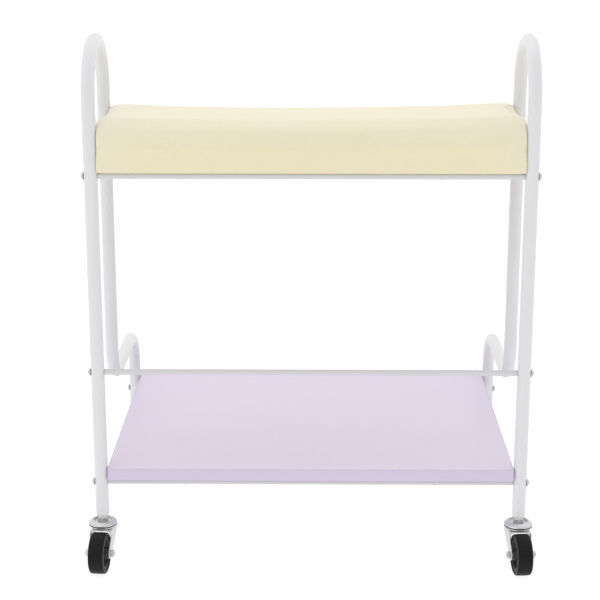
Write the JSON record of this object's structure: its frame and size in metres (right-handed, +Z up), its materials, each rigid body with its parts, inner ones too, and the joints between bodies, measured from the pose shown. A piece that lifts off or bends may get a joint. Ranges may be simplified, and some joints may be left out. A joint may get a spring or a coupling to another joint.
{
  "type": "rolling salon trolley",
  "caption": "Rolling salon trolley with bent-tube side frames, a padded top between the posts, a flat shelf below and swivelling casters.",
  "frame": {"origin": "on the floor, midway between the four legs, under the middle of the trolley's box", "axes": "+Z up, +X to the trolley's right-hand side, -Y to the front, where the guard rail is"},
  "size_m": [0.5434, 0.4566, 0.6386],
  "materials": {
    "powder_coat": "smooth white powder coat, semi-gloss",
    "zinc": "bright zinc plate",
    "cream_vinyl": "fine-grained cream vinyl, satin",
    "lilac_board": "pale lilac melamine-faced board, satin",
    "plywood": "bare plywood",
    "white_nylon": "moulded, satin",
    "black_nylon": "moulded, satin",
    "black_rubber": "matt rubber with lighter moulding lines"
  },
  "bodies": {
    "trolley": {"side_frame_left": "powder_coat", "side_frame_right": "powder_coat", "top_front_rail": "powder_coat", "top_front_bolt_left": "zinc", "top_front_bolt_right": "zinc", "top_rear_rail": "powder_coat", "top_rear_bolt_left": "zinc", "top_rear_bolt_right": "zinc", "guard_rail": "powder_coat", "guard_bolt_left": "zinc", "guard_bolt_right": "zinc", "shelf_front_rail": "powder_coat", "shelf_front_bolt_left": "zinc", "shelf_front_bolt_right": "zinc", "shelf_rear_rail": "powder_coat", "shelf_rear_bolt_left": "zinc", "shelf_rear_bolt_right": "zinc", "shelf_board": "lilac_board", "cushion_board": "plywood", "cushion_pad": "cream_vinyl", "cushion_screw_front_left": "zinc", "shelf_screw_front_left": "zinc", "cushion_screw_rear_left": "zinc", "shelf_screw_rear_left": "zinc", "cushion_screw_front_right": "zinc", "shelf_screw_front_right": "zinc", "cushion_screw_rear_right": "zinc", "shelf_screw_rear_right": "zinc", "caster_front_left_socket": "white_nylon", "caster_front_left_stem": "zinc", "caster_front_left_cap": "zinc", "caster_front_right_socket": "white_nylon", "caster_front_right_stem": "zinc", "caster_front_right_cap": "zinc", "caster_rear_left_socket": "white_nylon", "caster_rear_left_stem": "zinc", "caster_rear_left_cap": "zinc", "caster_rear_right_socket": "white_nylon", "caster_rear_right_stem": "zinc", "caster_rear_right_cap": "zinc"},
    "caster_front_left_swivel": {"caster_front_left_fork": "zinc", "caster_front_left_axle_bolt": "zinc", "caster_front_left_axle_nut": "zinc"},
    "caster_front_left_wheel": {"caster_front_left_wheel_hub": "black_nylon", "caster_front_left_tyre": "black_rubber"},
    "caster_front_right_swivel": {"caster_front_right_fork": "zinc", "caster_front_right_axle_bolt": "zinc", "caster_front_right_axle_nut": "zinc"},
    "caster_front_right_wheel": {"caster_front_right_wheel_hub": "black_nylon", "caster_front_right_tyre": "black_rubber"},
    "caster_rear_left_swivel": {"caster_rear_left_fork": "zinc", "caster_rear_left_axle_bolt": "zinc", "caster_rear_left_axle_nut": "zinc"},
    "caster_rear_left_wheel": {"caster_rear_left_wheel_hub": "black_nylon", "caster_rear_left_tyre": "black_rubber"},
    "caster_rear_right_swivel": {"caster_rear_right_fork": "zinc", "caster_rear_right_axle_bolt": "zinc", "caster_rear_right_axle_nut": "zinc"},
    "caster_rear_right_wheel": {"caster_rear_right_wheel_hub": "black_nylon", "caster_rear_right_tyre": "black_rubber"}
  },
  "joints": [
    {"name": "front_left_swivel", "type": "hinge", "parent": "trolley", "child": "caster_front_left_swivel", "pos_m": [-0.2525, -0.179, 0.05125], "axis": [0, 0, 1], "continuous": true},
    {"name": "front_left_roll", "type": "hinge", "parent": "caster_front_left_swivel", "child": "caster_front_left_wheel", "pos_m": [-0.25459, -0.20291, 0.025], "axis": [0.9962, -0.0872, 0], "continuous": true},
    {"name": "front_right_swivel", "type": "hinge", "parent": "trolley", "child": "caster_front_right_swivel", "pos_m": [0.2525, -0.179, 0.05125], "axis": [0, 0, 1], "continuous": true},
    {"name": "front_right_roll", "type": "hinge", "parent": "caster_front_right_swivel", "child": "caster_front_right_wheel", "pos_m": [0.25459, -0.20291, 0.025], "axis": [0.9962, 0.0872, 0], "continuous": true},
    {"name": "rear_left_swivel", "type": "hinge", "parent": "trolley", "child": "caster_rear_left_swivel", "pos_m": [-0.2525, 0.179, 0.05125], "axis": [0, 0, 1], "continuous": true},
    {"name": "rear_left_roll", "type": "hinge", "parent": "caster_rear_left_swivel", "child": "caster_rear_left_wheel", "pos_m": [-0.25459, 0.20291, 0.025], "axis": [0.9962, 0.0872, 0], "continuous": true},
    {"name": "rear_right_swivel", "type": "hinge", "parent": "trolley", "child": "caster_rear_right_swivel", "pos_m": [0.2525, 0.179, 0.05125], "axis": [0, 0, 1], "continuous": true},
    {"name": "rear_right_roll", "type": "hinge", "parent": "caster_rear_right_swivel", "child": "caster_rear_right_wheel", "pos_m": [0.25459, 0.20291, 0.025], "axis": [0.9962, -0.0872, 0], "continuous": true}
  ]
}
